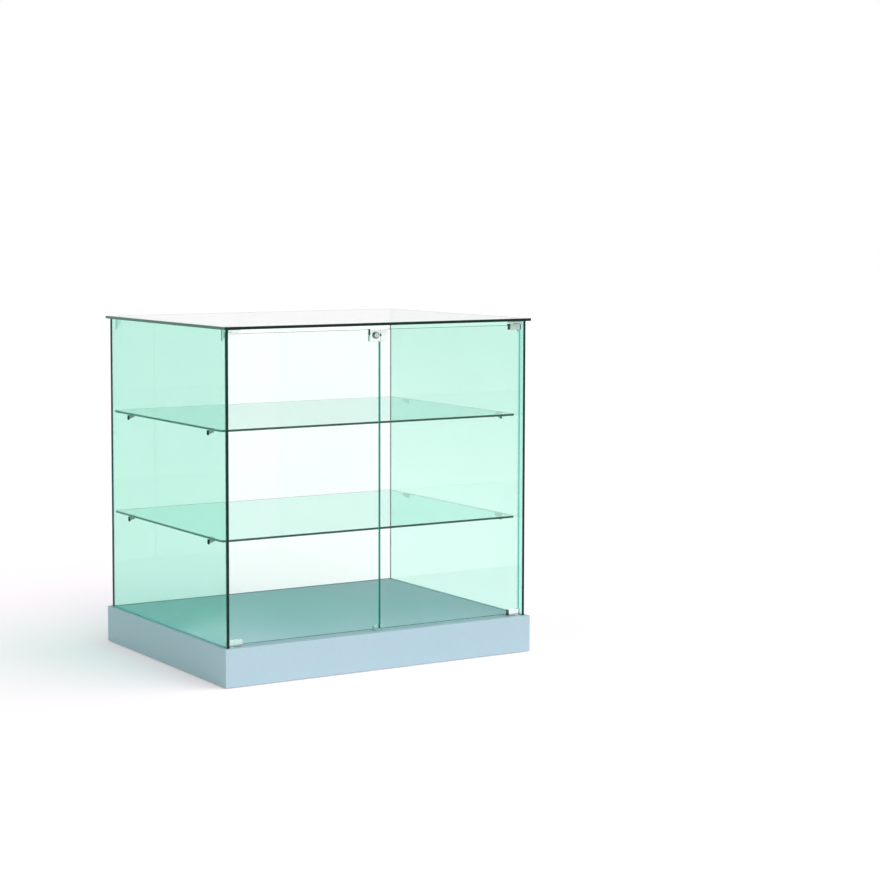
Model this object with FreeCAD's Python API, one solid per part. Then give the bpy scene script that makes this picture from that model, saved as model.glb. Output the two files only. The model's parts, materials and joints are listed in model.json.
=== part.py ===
import FreeCAD, Part
import math
import os
from FreeCAD import Vector

# Glass display counter: a case of bonded glass with two hinged doors, standing on a mitred plinth.
# Millimetres. The origin is on the floor under the middle, +Z is up and the doors face -Y.

# Overall size
counter_width = 1000.0
counter_depth = 780.0
counter_height = 980.0

# Plinth
glide_height = 2.0
glide_radius = 15.0
glide_pin_radius = 2.0
glide_pin_length = 18.0
plinth_rise = 105.0
board_thickness = 18.0
deck_thickness = 18.0
plinth_round = 1.2
rail_height = 60.0
block_side = 45.0
block_screw_radius = 2.0
block_screw_head_radius = 4.0
block_screw_head = 3.0
block_screw_bite = 12.0
block_screw_tip_room = 0.5
block_screw_drop_high = 25.0
block_screw_drop_low = 45.0

# Glass case
top_glass = 8.0
side_glass = 8.0
back_glass = 8.0
shelf_glass = 6.0
door_glass = 6.0
arris = 0.8
top_corner_radius = 4.0
side_inset = 11.0
front_inset = 14.0
back_inset = 11.0
groove_depth = 6.0
groove_clearance = 0.5
strip_thickness = 1.0

# Clear gussets under the top
gusset_width = 14.0
gusset_height = 32.0
gusset_lip = 10.0
gusset_thickness = 4.0
gusset_from_front = 28.0
gusset_from_back = 27.0

# Shelves and their brackets
shelf_low_level = 392.0
shelf_high_level = 693.0
shelf_front_inset = 51.0
shelf_gap = 2.0
shelf_corner_radius = 12.0
bracket_from_front = 130.0
bracket_from_back = 129.0
bracket_reach = 18.0
bracket_width = 10.0
bracket_root = 11.0
bracket_tip = 6.0
bracket_flange = 2.0
bracket_flange_width = 12.0
bracket_flange_height = 14.0
bracket_pad = 1.0
bracket_pad_length = 10.0
bracket_pad_width = 8.0
bracket_pad_inset = 1.0

# Doors
door_recess = 11.0
door_side_gap = 3.0
door_meeting_gap = 3.0
stop_width = 30.0
stop_depth = 12.0
stop_lap = 9.0
stop_corner = 2.0
stop_clearance = 0.3

# Hinges
pivot_offset = 8.0
clamp_length = 40.0
clamp_height = 17.0
clamp_jaw = 3.5
clamp_wall = 3.5
clamp_pad = 0.5
clamp_pad_margin = 1.5
clamp_corner = 2.5
clamp_end_gap = 0.5
hinge_float = 0.2
pin_radius = 3.0
pin_flange_radius = 5.0
pin_flange = 1.0
pin_end_room = 0.5
bush_radius = 5.0
bush_flange_radius = 7.0
bush_flange = 2.0
bush_floor = 1.0
deck_bush_length = 12.0
pivot_plate = 6.0
pivot_plate_length = 38.0
pivot_plate_width = 22.0
pivot_plate_corner = 2.5
pivot_plate_gap = 2.0

# Grub screws, shared by the hinge clamps, the lock and the strike
grub_radius = 2.5
grub_spacing = 20.0
grub_socket_radius = 1.4
grub_socket_depth = 1.8

# Lock on the left door and strike on the right door
case_width = 33.0
case_height = 36.0
case_bridge = 2.0
case_wall = 3.0
case_front_wall = 1.6
case_round = 1.5
case_back = 4.0
case_pad = 0.5
case_pad_margin = 2.0
barrel_radius = 8.0
barrel_head_radius = 10.0
barrel_head = 6.5
plug_radius = 6.0
plug_proud = 0.4
disc_radius = 9.3
disc_thickness = 1.2
crank_radius = 1.5
crank_end_room = 0.3
keyway_width = 1.6
keyway_height = 8.0
keyway_depth = 5.0
bolt_travel = 10.0
bolt_thickness = 2.2
bolt_height = 12.0
bolt_tip_inset = 1.0
bolt_rim = 2.6
slot_clearance = 0.45
lock_play = 0.25
slide_clearance = 0.2
cover_thickness = 1.2
cover_margin = 2.0
cover_gap = 0.1
cover_screw_radius = 1.0
cover_screw_head_radius = 1.9
cover_screw_head = 0.7
cover_screw_length = 4.6
cover_screw_inset = 2.4
strike_width = 17.5
strike_clearance = 0.5
strike_cover = 1.9
strike_wall = 0.8
strike_spare = 2.0
strike_rivet_radius = 1.2
strike_rivet_bite = 1.2
strike_rivet_room = 0.3

# Fits
running_clearance = 0.05
press_clearance = 0.02
thread_clearance = 0.05

# Levels and faces worked out from the sizes above
half_width = counter_width / 2
half_depth = counter_depth / 2
deck_top = glide_height + plinth_rise
deck_underside = deck_top - deck_thickness
top_underside = counter_height - top_glass
side_outer = half_width - side_inset
side_inner = side_outer - side_glass
case_front = front_inset - half_depth
back_outer = half_depth - back_inset
back_inner = back_outer - back_glass
groove_floor = deck_top - groove_depth
glass_foot = groove_floor + strip_thickness

door_face = case_front + door_recess
door_rear = door_face + door_glass
door_middle = (door_face + door_rear) / 2
door_outer = side_inner - door_side_gap
door_inner = door_meeting_gap / 2
pivot_x = door_outer - pivot_offset
plate_underside = top_underside - pivot_plate
door_foot = deck_top + bush_flange + hinge_float + clamp_wall
door_head = plate_underside - bush_flange - hinge_float - clamp_wall

clamp_half = door_glass / 2 + clamp_pad + clamp_jaw
case_head = door_head + case_bridge
case_foot = case_head - case_height
case_right = -door_inner
case_left = case_right - case_width
lock_x = (case_left + case_right) / 2
lock_z = (case_foot + case_head) / 2
cover_front = door_face - cover_thickness
bolt_rear = cover_front - lock_play
bolt_front = bolt_rear - bolt_thickness
disc_rear = bolt_front - lock_play
disc_front = disc_rear - disc_thickness
barrel_rear = disc_front - lock_play
case_face = barrel_rear - case_front_wall
crank_throw = bolt_travel / 2 / math.sin(math.radians(45))
strike_pocket = bolt_travel - bolt_tip_inset - door_meeting_gap + strike_spare

SIDES = (("left", -1), ("right", 1))
CORNERS = ((-1, -1), (-1, 1), (1, -1), (1, 1))


def box(x, y, z):
    """Block between two corners; each axis is a pair of faces in either order."""
    low = [min(pair) for pair in (x, y, z)]
    size = [abs(pair[1] - pair[0]) for pair in (x, y, z)]
    return Part.makeBox(*size, Vector(*low))


def rod(radius, start, end):
    """Cylinder between two centre points."""
    run = Vector(*end) - Vector(*start)
    return Part.makeCylinder(radius, run.Length, Vector(*start), run)


def prism(points, run):
    """Straight block on a flat outline."""
    loop = [Vector(*p) for p in points]
    return Part.Face(Part.makePolygon(loop + loop[:1])).extrude(Vector(*run))


def edges_along(shape, axis):
    """Straight edges that run along one axis (0, 1 or 2)."""
    found = []
    for edge in shape.Edges:
        run = edge.Vertexes[-1].Point - edge.Vertexes[0].Point
        if run.Length > 0 and abs(abs(run[axis]) - run.Length) < 1e-6:
            found.append(edge)
    return found


def rounded(shape, radius, axis):
    """Block with its edges along one axis rounded."""
    return shape.makeFillet(radius, edges_along(shape, axis))


def arrised(pane):
    """Pane with its sharp edges ground off all round."""
    return pane.makeChamfer(arris, pane.Edges)


def grub_screw(x, z, rear, tip):
    """Grub screw along Y with a hexagon socket in its rear end."""
    screw = rod(grub_radius, (x, rear, z), (x, tip, z))
    hexagon = []
    for k in range(6):
        turn = math.radians(60 * k)
        across, up = grub_socket_radius * math.cos(turn), grub_socket_radius * math.sin(turn)
        hexagon.append((x + across, rear, z + up))
    return screw.cut(prism(hexagon, (0, -grub_socket_depth, 0)))


def grub_hole(x, z, rear, tip):
    return rod(grub_radius + thread_clearance, (x, rear, z), (x, tip, z))


# Plinth: boards and deck share one rounded outline, cut apart along their mitres.

def plinth_outline():
    block = box((-half_width, half_width), (-half_depth, half_depth), (glide_height, deck_top))
    upper = [e for e in block.Edges if all(abs(v.Z - deck_top) < 1e-6 for v in e.Vertexes)]
    return block.makeFillet(plinth_round, edges_along(block, 2) + upper)


def deck_wedge():
    """Deck blank: full size on top, a board's thickness smaller all round underneath."""
    def corners(inset, z):
        x, y = half_width - inset, half_depth - inset
        return [Vector(-x, -y, z), Vector(x, -y, z), Vector(x, y, z), Vector(-x, y, z)]

    low, high = corners(board_thickness, deck_underside), corners(0, deck_top)
    loops = [low, high]
    for k in range(4):
        n = (k + 1) % 4
        loops.append([low[k], low[n], high[n], high[k]])
    faces = [Part.Face(Part.makePolygon(loop + loop[:1])) for loop in loops]
    solid = Part.Solid(Part.Shell(faces))
    solid.fix(1e-7, 1e-7, 1e-7)
    return solid


def board_blank(corner, along, inward):
    """Board mitred at both ends: from an outer corner, its long side and its thickness inwards."""
    a = Vector(*corner)
    b = a + Vector(*along)
    unit = Vector(*along).normalize()
    thick = Vector(*inward) * board_thickness
    end = unit * board_thickness
    loop = [a, b, b + thick - end, a + thick + end]
    return prism([tuple(p) for p in loop], (0, 0, plinth_rise))


def block_screw_runs(side, end):
    """Start on the block's inner face, and direction, of the two screws of a corner block."""
    x_in = side * (half_width - board_thickness - block_side)
    y_in = end * (half_depth - board_thickness - block_side)
    x_mid = x_in + side * block_side / 2
    y_mid = y_in + end * block_side / 2
    yield Vector(x_mid, y_in, deck_underside - block_screw_drop_high), Vector(0, end, 0)
    yield Vector(x_in, y_mid, deck_underside - block_screw_drop_low), Vector(side, 0, 0)


def block_screw(start, way, clearance, tip_room):
    """Countersunk wood screw, or the hole for it when clearance and tip room are given."""
    head_end = start + way * block_screw_head
    tip = start + way * (block_side + block_screw_bite + tip_room)
    head = rod(block_screw_head_radius + clearance, tuple(start), tuple(head_end))
    return head.fuse(rod(block_screw_radius + clearance, tuple(head_end), tuple(tip)))


def glide(side, end, clearance=0.0):
    """Nylon glide with a pin driven up into its corner block."""
    x = side * (half_width - board_thickness - block_side / 2)
    y = end * (half_depth - board_thickness - block_side / 2)
    pin = rod(glide_pin_radius + clearance, (x, y, glide_height), (x, y, glide_height + glide_pin_length))
    return pin.fuse(rod(glide_radius, (x, y, 0), (x, y, glide_height)))


def wall_footprints():
    """Plan of the standing glass: name, X faces and Y faces."""
    yield "glass_left", (-side_outer, -side_inner), (case_front, back_inner)
    yield "glass_right", (side_inner, side_outer), (case_front, back_inner)
    yield "glass_back", (-side_outer, side_outer), (back_inner, back_outer)


def build_plinth(nodes):
    outline = plinth_outline()
    wedge = deck_wedge()
    w, d, foot = counter_width, counter_depth, glide_height
    blanks = {
        "plinth_front": board_blank((-half_width, -half_depth, foot), (w, 0, 0), (0, 1, 0)),
        "plinth_right": board_blank((half_width, -half_depth, foot), (0, d, 0), (-1, 0, 0)),
        "plinth_back": board_blank((half_width, half_depth, foot), (-w, 0, 0), (0, -1, 0)),
        "plinth_left": board_blank((-half_width, half_depth, foot), (0, -d, 0), (1, 0, 0)),
    }
    blocks, screws, glides = [], [], []
    screw_holes = []
    for side, end in CORNERS:
        x = (side * (half_width - board_thickness), side * (half_width - board_thickness - block_side))
        y = (end * (half_depth - board_thickness), end * (half_depth - board_thickness - block_side))
        block = box(x, y, (glide_height, deck_underside)).cut(glide(side, end, press_clearance))
        for start, way in block_screw_runs(side, end):
            screws.append(block_screw(start, way, 0.0, 0.0))
            hole = block_screw(start, way, thread_clearance, block_screw_tip_room)
            screw_holes.append(hole)
            block = block.cut(hole)
        blocks.append(block)
        glides.append(glide(side, end))
    for name, blank in blanks.items():
        board = blank.common(outline).cut(wedge)
        for hole in screw_holes:
            board = board.cut(hole)
        nodes[name] = board
    deck = wedge.common(outline)
    for _, x, y in wall_footprints():
        x_room = (min(x) - groove_clearance, max(x) + groove_clearance)
        y_room = (min(y) - groove_clearance, max(y) + groove_clearance)
        deck = deck.cut(box(x_room, y_room, (groove_floor, deck_top)))
    for _, side in SIDES:
        x = side * pivot_x
        deck = deck.cut(rod(bush_radius + press_clearance, (x, door_middle, deck_top),
                            (x, door_middle, deck_top - deck_bush_length)))
    nodes["plinth_deck"] = deck
    nodes["plinth_rail"] = box((-board_thickness / 2, board_thickness / 2),
                               (board_thickness - half_depth, half_depth - board_thickness),
                               (deck_underside - rail_height, deck_underside))
    nodes["plinth_corner_blocks"] = blocks
    nodes["plinth_screws"] = screws
    nodes["floor_glides"] = glides


# Glass case

def build_case(nodes):
    strips = []
    for name, x, y in wall_footprints():
        nodes[name] = arrised(box(x, y, (glass_foot, top_underside)))
        strips.append(box(x, y, (groove_floor, glass_foot)))
    nodes["glazing_strips"] = strips
    top = box((-half_width, half_width), (-half_depth, half_depth), (top_underside, counter_height))
    nodes["glass_top"] = arrised(rounded(top, top_corner_radius, 2))
    front_gusset = case_front + gusset_from_front
    back_gusset = back_inner - gusset_from_back - gusset_thickness
    gussets = []
    for _, side in SIDES:
        for y in (front_gusset, back_gusset):
            wall, tip = side * side_inner, side * (side_inner - gusset_width)
            outline = [
                (wall, y, top_underside),
                (tip, y, top_underside),
                (tip, y, top_underside - gusset_lip),
                (wall, y, top_underside - gusset_height),
            ]
            gussets.append(prism(outline, (0, gusset_thickness, 0)))
    nodes["top_gussets"] = gussets


def shelf_bracket(side, y, level):
    """Arm that tapers from a flange on the side glass to its tip, below the shelf pad."""
    top = level - bracket_pad
    face = side_inner - bracket_flange
    flange_y = (y - bracket_flange_width / 2, y + bracket_flange_width / 2)
    flange = box((side * side_inner, side * face), flange_y, (top - bracket_flange_height, top))
    near, tip = side * face, side * (side_inner - bracket_reach)
    start = y - bracket_width / 2
    outline = [
        (near, start, top),
        (tip, start, top),
        (tip, start, top - bracket_tip),
        (near, start, top - bracket_root),
    ]
    return flange.fuse(prism(outline, (0, bracket_width, 0))).removeSplitter()


def shelf_pad(side, y, level):
    tip = side_inner - bracket_reach + bracket_pad_inset
    return box((side * tip, side * (tip + bracket_pad_length)),
               (y - bracket_pad_width / 2, y + bracket_pad_width / 2), (level - bracket_pad, level))


def build_shelves(nodes):
    rows = (("front", bracket_from_front - half_depth), ("back", half_depth - bracket_from_back))
    for name, level in (("lower", shelf_low_level), ("upper", shelf_high_level)):
        x = side_inner - shelf_gap
        shelf_y = (shelf_front_inset - half_depth, back_inner - shelf_gap)
        pane = box((-x, x), shelf_y, (level, level + shelf_glass))
        nodes["shelf_" + name] = arrised(rounded(pane, shelf_corner_radius, 2))
        pads = []
        for side_name, side in SIDES:
            for row_name, y in rows:
                node = "bracket_" + name + "_" + side_name + "_" + row_name
                nodes[node] = shelf_bracket(side, y, level)
                pads.append(shelf_pad(side, y, level))
        nodes["shelf_pads_" + name] = pads


# Doors and hinges

def grub_places(side):
    middle = door_outer - clamp_end_gap - clamp_length / 2
    return [side * (middle - grub_spacing / 2), side * (middle + grub_spacing / 2)]


def hinge(side, seat, up, bush_length):
    """One pivot hinge. seat is the face that its bush stands on, up points from there to the door."""
    def z(rise):
        return seat + up * rise

    x = side * pivot_x
    y = door_middle
    foot = bush_flange + hinge_float
    wall = foot + clamp_wall
    head = foot + clamp_height
    outer = door_outer - clamp_end_gap
    x_faces = (side * outer, side * (outer - clamp_length))
    rear = y + clamp_half
    jaw = rear - clamp_jaw

    clamp = rounded(box(x_faces, (y - clamp_half, rear), (z(foot), z(head))), clamp_corner, 2)
    slot_half = door_glass / 2 + clamp_pad
    clamp = clamp.cut(box(x_faces, (y - slot_half, y + slot_half), (z(wall), z(head))))
    clamp = clamp.cut(rod(pin_radius + press_clearance, (x, y, z(foot)), (x, y, z(wall))))
    sink = wall - pin_flange
    clamp = clamp.cut(rod(pin_flange_radius + press_clearance, (x, y, z(sink)), (x, y, z(wall))))

    screws, pads = [], []
    level = z((wall + head) / 2)
    for screw_x in grub_places(side):
        clamp = clamp.cut(grub_hole(screw_x, level, rear, jaw))
        screws.append(grub_screw(screw_x, level, rear, jaw))
    pad_x = (side * (outer - clamp_pad_margin), side * (outer - clamp_length + clamp_pad_margin))
    for faces in ((door_face - clamp_pad, door_face), (door_rear, door_rear + clamp_pad)):
        pads.append(box(pad_x, faces, (z(wall), z(head - clamp_pad_margin))))

    bore_end = bush_floor - bush_length
    pin = rod(pin_radius, (x, y, z(bore_end + pin_end_room)), (x, y, z(sink)))
    pin = pin.fuse(rod(pin_flange_radius, (x, y, z(sink)), (x, y, z(wall))))
    bush = rod(bush_radius, (x, y, z(-bush_length)), (x, y, z(0)))
    bush = bush.fuse(rod(bush_flange_radius, (x, y, z(0)), (x, y, z(bush_flange))))
    bush = bush.cut(rod(pin_radius + running_clearance, (x, y, z(bore_end)), (x, y, z(bush_flange))))
    return clamp, pin, bush, pads, screws


def build_doors(nodes):
    deck_bushes, top_bushes = [], []
    for name, side in SIDES:
        pane = box((side * door_inner, side * door_outer), (door_face, door_rear), (door_foot, door_head))
        nodes["door_" + name] = arrised(pane)
        low = hinge(side, deck_top, 1, deck_bush_length)
        high = hinge(side, plate_underside, -1, pivot_plate)
        nodes["hinge_clamp_" + name + "_lower"] = low[0]
        nodes["hinge_clamp_" + name + "_upper"] = high[0]
        nodes["hinge_pins_" + name] = [low[1], high[1]]
        nodes["hinge_pads_" + name] = low[3] + high[3]
        nodes["hinge_screws_" + name] = low[4] + high[4]
        deck_bushes.append(low[2])
        top_bushes.append(high[2])
        plate_outer = side_inner - pivot_plate_gap
        plate = box((side * plate_outer, side * (plate_outer - pivot_plate_length)),
                    (door_middle - pivot_plate_width / 2, door_middle + pivot_plate_width / 2),
                    (plate_underside, top_underside))
        hole = rod(bush_radius + press_clearance, (side * pivot_x, door_middle, plate_underside),
                   (side * pivot_x, door_middle, top_underside))
        nodes["pivot_plate_" + name] = rounded(plate, pivot_plate_corner, 2).cut(hole)
    nodes["deck_bushes"] = deck_bushes
    nodes["top_bushes"] = top_bushes
    stop_front = door_rear + stop_clearance
    stop = box((-stop_width / 2, stop_width / 2), (stop_front, stop_front + stop_depth),
               (deck_top, door_foot + stop_lap))
    nodes["door_stop"] = rounded(stop, stop_corner, 2)


# Lock and strike

def edge_case(x_faces):
    """Case that hooks over the top edge of a door: front block, bridge and back plate."""
    front = box(x_faces, (case_face, door_face), (case_foot, case_head))
    corners = [e for e in edges_along(front, 2) if abs(e.Vertexes[0].Y - case_face) < 1e-6]
    front = front.makeFillet(case_round, corners)
    pad_rear = door_rear + case_pad
    bridge = box(x_faces, (door_face, pad_rear + case_back), (door_head, case_head))
    back = box(x_faces, (pad_rear, pad_rear + case_back), (case_foot, case_head))
    return front.fuse(bridge).fuse(back).removeSplitter()


def case_fixings(x_faces):
    """Pressure pad, grub screws and screw holes of a case on the back of its door."""
    pad_x = (x_faces[0] + case_pad_margin, x_faces[1] - case_pad_margin)
    pad_rear = door_rear + case_pad
    pad = box(pad_x, (door_rear, pad_rear), (case_foot + case_pad_margin, door_head - case_pad_margin))
    x = sum(x_faces) / 2
    middle = (case_foot + door_head) / 2
    levels = (middle - grub_spacing / 2, middle + grub_spacing / 2)
    rear = pad_rear + case_back
    screws = [grub_screw(x, z, rear, pad_rear) for z in levels]
    holes = [grub_hole(x, z, rear, pad_rear) for z in levels]
    return pad, screws, holes


def cover_faces(gap):
    x = (case_left + cover_margin + gap, case_right - cover_margin - gap)
    z = (case_foot + cover_margin + gap, door_head - cover_margin - gap)
    return x, z


def cover_screw_places():
    x, z = cover_faces(0.0)
    for px in (x[0] + cover_screw_inset, x[1] - cover_screw_inset):
        for pz in (z[0] + cover_screw_inset, z[1] - cover_screw_inset):
            yield px, pz


def cover_screw(x, z, clearance):
    def run(radius, length):
        return rod(radius + clearance, (x, door_face, z), (x, door_face - length, z))

    return run(cover_screw_head_radius, cover_screw_head).fuse(run(cover_screw_radius, cover_screw_length))


def lock_rod(radius, front, rear):
    """Cylinder on the lock's axis."""
    return rod(radius, (lock_x, front, lock_z), (lock_x, rear, lock_z))


def build_lock(nodes):
    # The crank stands 45 degrees left of upright at rest, and a quarter turn carries it as far to the right.
    crank_x = lock_x - bolt_travel / 2
    crank_z = lock_z + bolt_travel / 2
    slot_half = crank_radius + slot_clearance
    slot_low = crank_z - slot_half
    slot_high = lock_z + crank_throw + slot_half
    tab_half = slot_half + bolt_rim
    tab_top = slot_high + bolt_rim
    bolt_low, bolt_high = lock_z - bolt_height / 2, lock_z + bolt_height / 2

    x_faces = (case_left, case_right)
    case = edge_case(x_faces)
    pad, screws, holes = case_fixings(x_faces)
    for hole in holes:
        case = case.cut(hole)
    case = case.cut(lock_rod(barrel_radius + press_clearance, case_face, barrel_rear))
    chamber = (bolt_front - lock_play, cover_front)
    case = case.cut(lock_rod(disc_radius + lock_play, barrel_rear, chamber[0]))
    channel = (bolt_low - slide_clearance, bolt_high + slide_clearance)
    case = case.cut(box((case_left + case_wall, case_right - case_wall), chamber, channel))
    tab_room = bolt_travel / 2 + tab_half + lock_play
    tab_z = (lock_z, tab_top + slide_clearance)
    case = case.cut(box((lock_x - tab_room, lock_x + tab_room), chamber, tab_z))
    mouth_y = (bolt_front - slide_clearance, bolt_rear + slide_clearance)
    case = case.cut(box((case_right - case_wall, case_right), mouth_y, channel))
    recess_x, recess_z = cover_faces(0.0)
    case = case.cut(box(recess_x, (cover_front, door_face), recess_z))
    cover_x, cover_z = cover_faces(cover_gap)
    cover = box(cover_x, (cover_front, door_face), cover_z)
    cover_screws = []
    for x, z in cover_screw_places():
        hole = cover_screw(x, z, thread_clearance)
        case = case.cut(hole)
        cover = cover.cut(hole)
        cover_screws.append(cover_screw(x, z, 0.0))
    nodes["lock_case"] = case
    nodes["lock_pad"] = pad
    nodes["lock_screws"] = screws
    nodes["lock_cover"] = cover
    nodes["lock_cover_screws"] = cover_screws

    lip = case_face - barrel_head
    barrel = lock_rod(barrel_radius, case_face, barrel_rear)
    barrel = barrel.fuse(lock_rod(barrel_head_radius, lip, case_face))
    nodes["lock_barrel"] = barrel.cut(lock_rod(plug_radius + running_clearance, lip, barrel_rear))

    nose = lip - plug_proud
    crank_rear = bolt_rear - crank_end_room
    plug = lock_rod(plug_radius, nose, disc_front).fuse(lock_rod(disc_radius, disc_front, disc_rear))
    plug = plug.fuse(rod(crank_radius, (crank_x, disc_front, crank_z), (crank_x, crank_rear, crank_z)))
    keyway_x = (lock_x - keyway_width / 2, lock_x + keyway_width / 2)
    keyway_z = (lock_z - keyway_height / 2, lock_z + keyway_height / 2)
    nodes["lock_plug"] = plug.cut(box(keyway_x, (nose, nose + keyway_depth), keyway_z))

    bolt_y = (bolt_front, bolt_rear)
    bar = box((crank_x - tab_half, case_right - bolt_tip_inset), bolt_y, (bolt_low, bolt_high))
    tab = box((crank_x - tab_half, crank_x + tab_half), bolt_y, (bolt_low, tab_top))
    slot = box((crank_x - slot_half, crank_x + slot_half), bolt_y, (slot_low, slot_high))
    nodes["lock_bolt"] = bar.fuse(tab).removeSplitter().cut(slot)

    x_faces = (door_inner, door_inner + strike_width)
    strike = edge_case(x_faces)
    pad, screws, holes = case_fixings(x_faces)
    for hole in holes:
        strike = strike.cut(hole)
    pocket_y = (case_face + strike_cover, door_face - strike_wall)
    pocket_z = (bolt_low - strike_clearance, bolt_high + strike_clearance)
    # Three layers riveted together: the clip, a spacer notched for the bolt, and the cover.
    rivets = []
    bite = pocket_y[0] - strike_rivet_bite
    for z in ((case_foot + pocket_z[0]) / 2, (pocket_z[1] + door_head) / 2):
        start = (sum(x_faces) / 2, door_face, z)
        rivets.append(rod(strike_rivet_radius, start, (start[0], bite, z)))
        hole_end = (start[0], bite - strike_rivet_room, z)
        strike = strike.cut(rod(strike_rivet_radius + press_clearance, start, hole_end))
    height = (case_foot, case_head)
    cover_room = box(x_faces, (case_face, pocket_y[0]), height)
    spacer_room = box(x_faces, pocket_y, height)
    notch = box((door_inner, door_inner + strike_pocket), pocket_y, pocket_z)
    nodes["strike_case"] = strike.cut(cover_room).cut(spacer_room)
    nodes["strike_spacer"] = strike.common(spacer_room).cut(notch)
    nodes["strike_cover"] = strike.common(cover_room)
    nodes["strike_rivets"] = rivets
    nodes["strike_pad"] = pad
    nodes["strike_screws"] = screws


def main():
    nodes = {}
    build_plinth(nodes)
    build_case(nodes)
    build_shelves(nodes)
    build_doors(nodes)
    build_lock(nodes)
    os.makedirs("parts", exist_ok=True)
    for name, shape in nodes.items():
        solid = Part.makeCompound(shape) if isinstance(shape, list) else shape
        solid.exportStep("parts/" + name + ".step")
        state = "valid" if solid.isValid() else "NOT VALID"
        print(name, len(solid.Solids), "solid(s)", round(solid.Volume), "mm3", state)
    print(len(nodes), "nodes")


main()
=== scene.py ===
import json
import math
import bmesh
import bpy
import numpy as np
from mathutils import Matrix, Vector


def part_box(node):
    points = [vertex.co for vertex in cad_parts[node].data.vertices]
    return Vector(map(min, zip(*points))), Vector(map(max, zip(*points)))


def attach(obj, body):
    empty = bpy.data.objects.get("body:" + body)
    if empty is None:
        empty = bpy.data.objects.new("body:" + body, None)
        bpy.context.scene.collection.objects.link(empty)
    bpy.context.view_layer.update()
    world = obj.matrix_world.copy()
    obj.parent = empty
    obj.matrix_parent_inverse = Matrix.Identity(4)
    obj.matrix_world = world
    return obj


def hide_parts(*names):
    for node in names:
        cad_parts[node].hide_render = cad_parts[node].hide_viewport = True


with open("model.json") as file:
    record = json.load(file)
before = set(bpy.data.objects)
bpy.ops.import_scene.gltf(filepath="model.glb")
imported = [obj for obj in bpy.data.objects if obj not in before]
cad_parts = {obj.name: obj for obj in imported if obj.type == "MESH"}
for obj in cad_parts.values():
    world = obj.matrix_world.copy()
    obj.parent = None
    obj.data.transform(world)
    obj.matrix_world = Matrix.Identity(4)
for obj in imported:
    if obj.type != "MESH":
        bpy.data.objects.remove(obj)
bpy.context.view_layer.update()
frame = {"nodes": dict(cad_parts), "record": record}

mm = 0.001
scene = bpy.context.scene
print("frame loaded:", len(frame["nodes"]), "nodes")


# colours and nodes

def linear(hexColour):  # sRGB hex to linear rgba
    c = np.array([int(hexColour[k:k + 2], 16) for k in (1, 3, 5)]) / 255
    c = np.where(c <= 0.04045, c / 12.92, ((c + 0.055) / 1.055) ** 2.4)
    return (*c.tolist(), 1.0)


def rootOf(rgba):  # half of a tint, for one of a pane's two faces
    return (*[math.sqrt(v) for v in rgba[:3]], 1.0)


def addNode(tree, kind, inputs=None, **settings):  # inputs are values or sockets to link, by name or number
    node = tree.nodes.new("ShaderNode" + kind)
    for key, value in settings.items():
        setattr(node, key, value)
    for key, value in (inputs or {}).items():
        if isinstance(value, bpy.types.NodeSocket):
            tree.links.new(value, node.inputs[key])
        else:
            node.inputs[key].default_value = value
    return node


def newMaterial(name):
    material = bpy.data.materials.new(name)
    material.use_nodes = True
    material.node_tree.nodes.clear()
    return material, material.node_tree


def showSurface(tree, shader):
    addNode(tree, "OutputMaterial", {"Surface": shader.outputs[0]})


def perMetre(sizeMm):  # a texture's scale from the real size of its grain
    return 1000.0 / sizeMm


# materials

# footAt and headAt: heights in metres over which a painted reflection of the bright floor, lighter at the
# foot of a pane, fades out
glassLook = {"waveMm": 240, "waveHeight": 0.00002, "cloudMm": 300, "cloudShare": 0.03, "ior": 1.5,
             "footAt": 0.12, "headAt": 0.9}


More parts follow.
